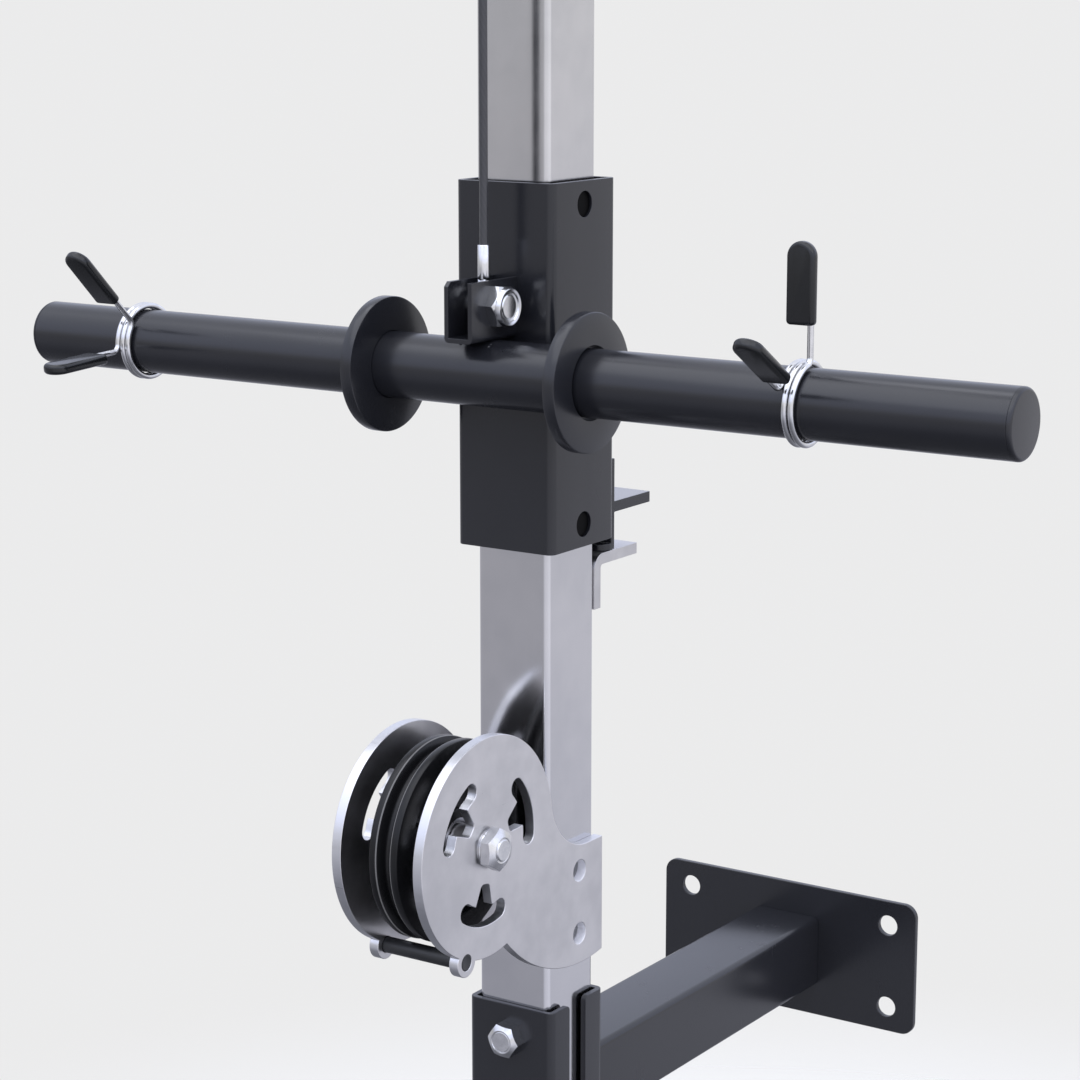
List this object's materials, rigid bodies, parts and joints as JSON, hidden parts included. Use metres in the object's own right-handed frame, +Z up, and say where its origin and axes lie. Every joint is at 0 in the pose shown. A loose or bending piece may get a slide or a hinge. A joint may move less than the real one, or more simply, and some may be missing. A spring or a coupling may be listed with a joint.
{
  "type": "wall pulley tower",
  "caption": "Wall-mounted pulley tower: plate-loaded carriage with a weight bar and spring collars slides on a square upright, lifted by a cable over a top pulley.",
  "frame": {"origin": "middle of the lower wall plate's four holes, on its back face against the wall", "axes": "+X along the weight bar to the right as seen from the front, +Y into the wall, +Z up along the upright"},
  "size_m": [0.844, 0.6345, 2.128],
  "materials": {
    "satin_steel": "satin plated steel tube",
    "plate_steel": "silver satin coat on plate",
    "black_coat": "black satin powder coat",
    "black_plastic": "black moulded plastic",
    "black_rubber": "black moulded rubber",
    "grip_vinyl": "dipped black vinyl",
    "cable_coat": "dark plastic coat on steel cable",
    "zinc": "bright zinc plating",
    "spring_chrome": "bright chromed spring wire",
    "bearing_steel": "ground bearing steel"
  },
  "bodies": {
    "frame": {"upright": "satin_steel", "top_cap": "black_plastic", "bottom_cap": "black_plastic", "lower_front_clamp": "black_coat", "lower_rear_clamp": "black_coat", "lower_wall_arm": "black_coat", "lower_wall_plate": "black_coat", "lower_clamp_bolts": "zinc", "lower_clamp_nuts": "zinc", "upper_front_clamp": "black_coat", "upper_rear_clamp": "black_coat", "upper_wall_arm": "black_coat", "upper_wall_plate": "black_coat", "upper_clamp_bolts": "zinc", "upper_clamp_nuts": "zinc", "stop_bracket": "plate_steel", "stop_bracket_bolts": "zinc", "low_plate_left": "plate_steel", "low_plate_right": "plate_steel", "low_guard_rod": "black_plastic", "low_axle_bolt": "zinc", "low_axle_nut": "zinc", "low_axle_spacers": "plate_steel", "high_plate_left": "plate_steel", "high_plate_right": "plate_steel", "high_guard_rod": "black_plastic", "high_axle_bolt": "zinc", "high_axle_nut": "zinc", "high_axle_spacers": "plate_steel", "cable_drop": "cable_coat", "cable_over_pulley": "cable_coat", "cable_tail": "cable_coat"},
    "low_pulley": {"low_wheel": "black_plastic", "low_bearing": "bearing_steel"},
    "high_pulley": {"high_wheel": "black_plastic", "high_bearing": "bearing_steel"},
    "carriage": {"sleeve": "black_coat", "upper_glide": "black_plastic", "lower_glide": "black_plastic", "rear_tab": "black_coat", "weight_bar": "black_coat", "bar_end_caps": "black_coat", "left_plate_stop": "black_coat", "right_plate_stop": "black_coat", "carriage_welds": "black_coat", "cable_clevis": "black_coat", "clevis_bolt": "zinc", "clevis_nut": "zinc", "cable_eye": "zinc"},
    "left_collar": {"left_collar_spring": "spring_chrome", "left_lower_grip": "grip_vinyl"},
    "left_collar_arm": {"left_upper_grip": "grip_vinyl"},
    "right_collar": {"right_collar_spring": "spring_chrome", "right_lower_grip": "grip_vinyl"},
    "right_collar_arm": {"right_upper_grip": "grip_vinyl"},
    "cable_end": {"stop_ball": "black_rubber", "tail_eye": "zinc"},
    "clip": {"carabiner": "zinc"},
    "clip_gate": {"carabiner_gate": "zinc"}
  },
  "joints": [
    {"name": "carriage_lift", "type": "slide", "parent": "frame", "child": "carriage", "axis": [0, 0, 1], "range_m": [0, 0.9], "deforming": ["cable_drop"]},
    {"name": "high_pulley_turn", "type": "hinge", "parent": "frame", "child": "high_pulley", "pos_m": [0, -0.5445, 1.69], "axis": [1, 0, 0], "continuous": true},
    {"name": "low_pulley_turn", "type": "hinge", "parent": "frame", "child": "low_pulley", "pos_m": [0, -0.5275, 0.237], "axis": [1, 0, 0], "continuous": true},
    {"name": "cable_pull", "type": "slide", "parent": "frame", "child": "cable_end", "axis": [0, 0, -1], "range_m": [0, 0.9], "deforming": ["cable_tail"]},
    {"name": "clip_swing", "type": "hinge", "parent": "cable_end", "child": "clip", "pos_m": [0, -0.6145, 1.5112], "axis": [0, 1, 0], "range_deg": [-40, 40]},
    {"name": "clip_gate_open", "type": "hinge", "parent": "clip", "child": "clip_gate", "pos_m": [0, -0.6305, 1.46075], "axis": [-1, 0, 0], "range_deg": [0, 25], "stiffness_Nm_per_rad": 0.05, "springref_deg": -9.74},
    {"name": "right_collar_slide", "type": "slide", "parent": "carriage", "child": "right_collar", "axis": [1, 0, 0], "range_m": [-0.15, 0.14]},
    {"name": "left_collar_slide", "type": "slide", "parent": "carriage", "child": "left_collar", "axis": [-1, 0, 0], "range_m": [-0.2, 0.08]},
    {"name": "right_collar_squeeze", "type": "hinge", "parent": "right_collar", "child": "right_collar_arm", "pos_m": [0.262, -0.4745, 0.5729], "axis": [1, 0, 0], "range_deg": [0, 20], "stiffness_Nm_per_rad": 4, "springref_deg": -1.15, "deforming": ["right_collar_spring"]},
    {"name": "left_collar_squeeze", "type": "hinge", "parent": "left_collar", "child": "left_collar_arm", "pos_m": [-0.322, -0.4745, 0.5729], "axis": [1, 0, 0], "range_deg": [0, 16], "stiffness_Nm_per_rad": 4, "springref_deg": -1.15, "deforming": ["left_collar_spring"]}
  ],
  "couplings": [
    {"joint": "high_pulley_turn", "follows": "carriage_lift", "rad_per_m": 14.286},
    {"joint": "cable_pull", "follows": "carriage_lift", "ratio": 1}
  ]
}
